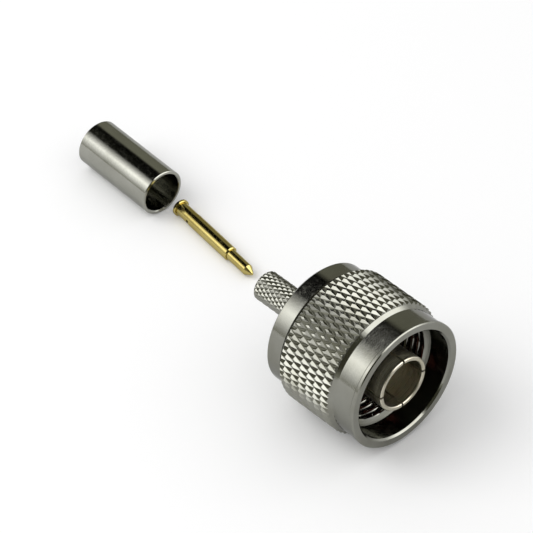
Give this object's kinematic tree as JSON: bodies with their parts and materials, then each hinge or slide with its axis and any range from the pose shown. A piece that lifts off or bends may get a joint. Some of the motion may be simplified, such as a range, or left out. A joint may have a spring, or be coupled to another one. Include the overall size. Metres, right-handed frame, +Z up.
{
  "type": "n type connector",
  "caption": "N type coaxial crimp plug with a knurled coupling nut, lying with its loose centre pin and crimp ferrule.",
  "frame": {"origin": "middle of the footprint of the three pieces, on the surface they lie on", "axes": "+X along the plug's axis and out of its mating face, +Z up, +Y to the left of the plug seen from its stem"},
  "size_m": [0.0704, 0.0216, 0.02],
  "materials": {
    "nickel_nut": "bright nickel plating on turned and knurled brass",
    "nickel_body": "bright nickel plating on turned brass",
    "nickel_contact": "nickel plating on spring bronze",
    "nickel_ferrule": "bright nickel plating on soft copper alloy",
    "bead": "white fluoropolymer, turned",
    "seal": "matt silicone rubber",
    "ring_steel": "spring steel or bronze, plain",
    "gold_pin": "gold plating with fine turning marks"
  },
  "bodies": {
    "kit": {"plug_body": "nickel_body", "outer_contact": "nickel_contact", "insulator": "bead", "gasket": "seal", "retaining_ring": "ring_steel", "centre_pin": "gold_pin", "crimp_ferrule": "nickel_ferrule"},
    "nut": {"coupling_nut": "nickel_nut"}
  },
  "joints": [
    {"name": "nut_spin", "type": "hinge", "parent": "kit", "child": "nut", "pos_m": [0.02046, -0.00079, 0.01], "axis": [1, 0, 0], "continuous": true}
  ]
}
